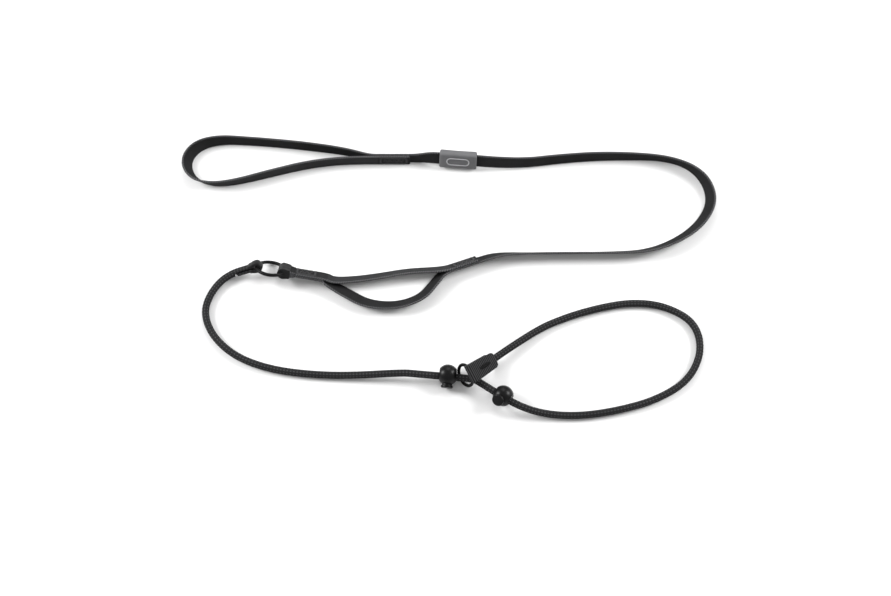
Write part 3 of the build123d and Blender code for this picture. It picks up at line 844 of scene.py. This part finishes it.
tab_reach = hypot(TAB_LENGTH, TAB_END_HALF_THICK)
touch_turn = atan2(TAB_END_HALF_THICK, TAB_LENGTH) + acos(TAB_FOLD_R / tab_reach)
touch = np.array([TAB_FOLD_R * cos(touch_turn), TAB_FOLD_R * sin(touch_turn)])
tab_end = np.array([TAB_LENGTH, TAB_END_HALF_THICK])
slope = unit(tab_end - touch)
tack_middle = (touch + tab_end) / 2 - [slope[1] * 0.1, -slope[0] * 0.1]
tack_x = tab_ahead * slope[0] + tab_top * slope[1]
tack_at = Vector(in_frame(tab, [tack_middle[0], tack_middle[1], 0]))
tack_axes = (tack_at, tack_x, -tab_side, tack_x.cross(-tab_side))
tack_piece = tack("rope_tab_satin", tack_axes, TACK_LENGTH, TACK_WIDTH, TACK_RISE)
finished(tack_piece, "rope_tab_tack", "rope_line", TACK, 70)

# --- Rubber keeper with its plain rim --------------------------------------------------------------

keeper_ahead = (leash_points[4][0] - leash_points[3][0]).normalized()
keeper_through, keeper_up = across(keeper_ahead, leash_points[3][1])
keeper_at = leash_points[3][0] + keeper_ahead * (KEEPER_FROM_START * MM)
keeper = (keeper_at, keeper_through, keeper_up, keeper_ahead)


def rounded_box(width, height, corner, steps=7):
    """Rounded rectangle, anticlockwise."""
    turn = np.linspace(0, pi / 2, steps)
    quarter = corner * np.stack([np.cos(turn), np.sin(turn)], 1)
    x, y = width / 2 - corner, height / 2 - corner
    parts = []
    for k, (sx, sy) in enumerate(((1, 1), (-1, 1), (-1, -1), (1, -1))):
        c, s = round(cos(k * pi / 2)), round(sin(k * pi / 2))
        parts.append(quarter @ np.array([[c, s], [-s, c]]) + [sx * x, sy * y])
    return np.concatenate(parts)


def counted(rings):
    """Texture places one millimetre apart, by ring and by point."""
    rows, count = rings.shape[:2]
    by_point = np.arange(count + 1)[None, :] * MM
    by_ring = np.arange(rows)[:, None] * MM
    return np.stack(np.broadcast_arrays(by_point, by_ring), -1)


def keeper_body():
    """Moulded sleeve: softened ends, a slight waist and a slot for the webbing."""
    half = KEEPER_LENGTH / 2
    rings = []
    for z, inset in ((-half, 1.5), (-half + 0.25, 0.8), (-half + 0.8, 0.3), (-half + 1.8, 0.0),
                     (-half / 2, 0.12), (0, 0.2), (half / 2, 0.12),
                     (half - 1.8, 0.0), (half - 0.8, 0.3), (half - 0.25, 0.8), (half, 1.5)):
        shape = rounded_box(KEEPER_THICK - 2 * inset, KEEPER_HEIGHT - 2 * inset, 2.5)
        rings.append(np.column_stack([shape, np.full(len(shape), z)]))
    slot_wide = WEB_THICK + 2 * KEEPER_CLEARANCE
    slot_high = WEB_WIDTH + 2 * KEEPER_CLEARANCE
    for z, flare in ((half, 0.5), (half - 0.6, 0.0), (0, 0.0), (-half + 0.6, 0.0), (-half, 0.5)):
        shape = rounded_box(slot_wide + 2 * flare, slot_high + 2 * flare, 1.0)
        rings.append(np.column_stack([shape, np.full(len(shape), z)]))
    rings.append(rings[0])
    rings = np.array(rings)
    return closed_seam(tube("keeper_moulded", in_frame(keeper, rings), counted(rings), closed_ends=False))


def closed_seam(piece):
    """Merge the first and last rings of a tube that closes on itself."""
    weld = piece.modifiers.new("weld", "WELD")
    weld.merge_threshold = WELD_GAP
    graph = bpy.context.evaluated_depsgraph_get()
    mesh = bpy.data.meshes.new_from_object(piece.evaluated_get(graph))
    piece.modifiers.clear()
    piece.data = mesh
    return piece


finished(keeper_body(), "rubber_keeper", "keeper", RUBBER, 35)


def rim_bead():
    """Raised bead in a rounded slot shape, on the keeper's front face."""
    centre_line = rounded_box(RIM_WIDTH - 1.2, RIM_LENGTH - 1.2, (RIM_WIDTH - 1.3) / 2, 17)
    around = np.concatenate([centre_line, centre_line[:1]])
    normal = outward(centre_line)
    normal = np.concatenate([normal, normal[:1]])
    bead = np.linspace(0, 2 * pi, 13)[:-1]
    rings = []
    for (high, along), (ny, nz) in zip(around, normal):
        wide = RIM_BEAD_R * np.cos(bead)
        out = -KEEPER_THICK / 2 + 0.1 - 0.55 * np.sin(bead)
        rings.append(np.column_stack([out, high + ny * wide, along + nz * wide]))
    rings = np.array(rings)
    bead_loop = tube("keeper_rim_bead", in_frame(keeper, rings), counted(rings), closed_ends=False)
    return closed_seam(bead_loop)


finished(rim_bead(), "keeper_rim", "keeper", RUBBER_PALE, 60)

# --- Stitching ------------------------------------------------------------------------------------


def thread_tube(name, line, radius=0.34):
    """One thread along a line in metres."""
    side, other = carried(line)
    turn = np.arange(7) / 6
    angle = 2 * pi * turn[:6]
    spokes = (side[:, None] * np.cos(angle)[None, :, None]
              + other[:, None] * np.sin(angle)[None, :, None])
    rings = line[:, None] + spokes * radius * MM
    travel = lengths(line)
    uv = np.stack(np.broadcast_arrays(turn[None, :] * 0.002, travel[:, None]), -1)
    return tube(name, rings, uv)


def zigzag(start, stop, middle, swing, pitch=2.6):
    """Points, along and up in mm, of a zigzag row with its turns rounded."""
    count = int((stop - start) / pitch * 8)
    phase = np.arange(count + 1) / 8
    along = start + phase * pitch
    return np.stack([along, middle + swing * (2 * np.abs(2 * (phase % 1) - 1) - 1)], 1)


def on_band(band, pattern):
    """Points in metres on the left face of a band, for a pattern of distances along and up it."""
    travel = band["travel"]
    at = pattern[:, 0] * MM

    def there(key):
        return np.stack([np.interp(at, travel, band[key][:, k]) for k in range(3)], 1)

    line, through, up = there("line"), there("through"), there("up")
    return line + through * ((WEB_THICK / 2 + 0.12) * MM) + up * (pattern[:, 1:] * MM)


def sewn_rows(name, stretches, node):
    """Zigzag rows along both edges and across both ends of a stitched stretch, on each outer face."""
    rows = []
    for band, start, stop in stretches:
        for middle in (-4.9, 4.9):
            rows.append(on_band(band, zigzag(start, stop, middle, 1.0)))
        for end in (start, stop):
            rows.append(on_band(band, zigzag(-4.2, 4.2, end, 1.1)[:, ::-1]))
        rows.append(on_band(band, zigzag(start + 3, stop - 3, 0.0, 2.6, 5.2)))
    piece = joined(name, [thread_tube(name, row) for row in rows])
    finished(piece, node, "root", THREAD, 60)


def total(band):
    """Length of a band, in mm."""
    return band["travel"][-1] / MM


hand = bands["hand_loop_webbing"]
slack = bands["slack_loop_webbing"]
main = bands["main_band_webbing"]
hand_end, slack_end, main_end = (total(band) for band in (hand, slack, main))
sewn_rows("hand_loop_threads",
          [(hand, 4, 33), (hand, hand_end - 33, hand_end - 4)], "hand_loop_stitching")
sewn_rows("lower_joint_threads",
          [(slack, 9, 31), (main, main_end - 26, main_end - 4)], "lower_joint_stitching")
sewn_rows("ring_end_threads",
          [(slack, slack_end - 22, slack_end - 2), (main, 2, 22)], "ring_end_stitching")

# --- CAD pieces that keep their shape -------------------------------------------------------------

kept = {
    "lead_ring": METAL, "slip_ring": METAL,
    "stopper_1_ball": PLASTIC, "stopper_2_ball": PLASTIC,
    "stopper_1_button": PLASTIC, "stopper_2_button": PLASTIC,
    "stopper_1_spring": STEEL, "stopper_2_spring": STEEL,
}
for node, material in kept.items():
    dress(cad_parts[node], material)

# --- Floor, light, camera -------------------------------------------------------------------------

def stage_floor():
    """Plain white floor."""
    mesh = bpy.data.meshes.new("floor")
    half = 6.0
    corners = [(-half, -half, 0), (half, -half, 0), (half, half, 0), (-half, half, 0)]
    mesh.from_pydata(corners, [], [(0, 1, 2, 3)])
    floor = linked("floor", mesh)
    nodes = Nodes("floor_paper")
    nodes.surface(Base_Color=(0.72, 0.72, 0.72, 1), Roughness=0.9)
    dress(floor, nodes.material)


def soft_light(name, at, aim, size, power):
    """Square area light aimed at a point."""
    lamp = bpy.data.lights.new(name, "AREA")
    lamp.size = size
    lamp.energy = power
    holder = linked(name, lamp)
    holder.location = at
    holder.rotation_euler = (Vector(aim) - Vector(at)).to_track_quat("-Z", "Y").to_euler()


def set_camera():
    """Camera above the near edge of the table, looking down at the layout's middle."""
    camera_data = bpy.data.cameras.new("camera")
    camera_data.lens = 80.8
    camera_data.sensor_width = 36
    camera = linked("camera", camera_data)
    target = placed(-3.85, -26.3, 0)
    tilt = radians(67)
    camera.location = target + Vector((0, -cos(tilt), sin(tilt))) * 2.2
    camera.rotation_euler = (target - camera.location).to_track_quat("-Z", "Y").to_euler()
    bpy.context.scene.camera = camera


stage_floor()
soft_light("left_softbox", (-1.9, 0.35, 1.15), (0, 0, 0), 0.9, 62)
soft_light("right_softbox", (1.9, 0.45, 1.25), (0, 0, 0), 0.9, 58)
soft_light("back_softbox", (0.1, 1.7, 1.5), (0, 0, 0), 1.2, 16)
world = bpy.data.worlds.new("studio")
world.use_nodes = True
world.node_tree.nodes["Background"].inputs["Color"].default_value = (1, 1, 1, 1)
world.node_tree.nodes["Background"].inputs["Strength"].default_value = 0.62
bpy.context.scene.world = world
bpy.context.scene.view_settings.view_transform = "Standard"
set_camera()
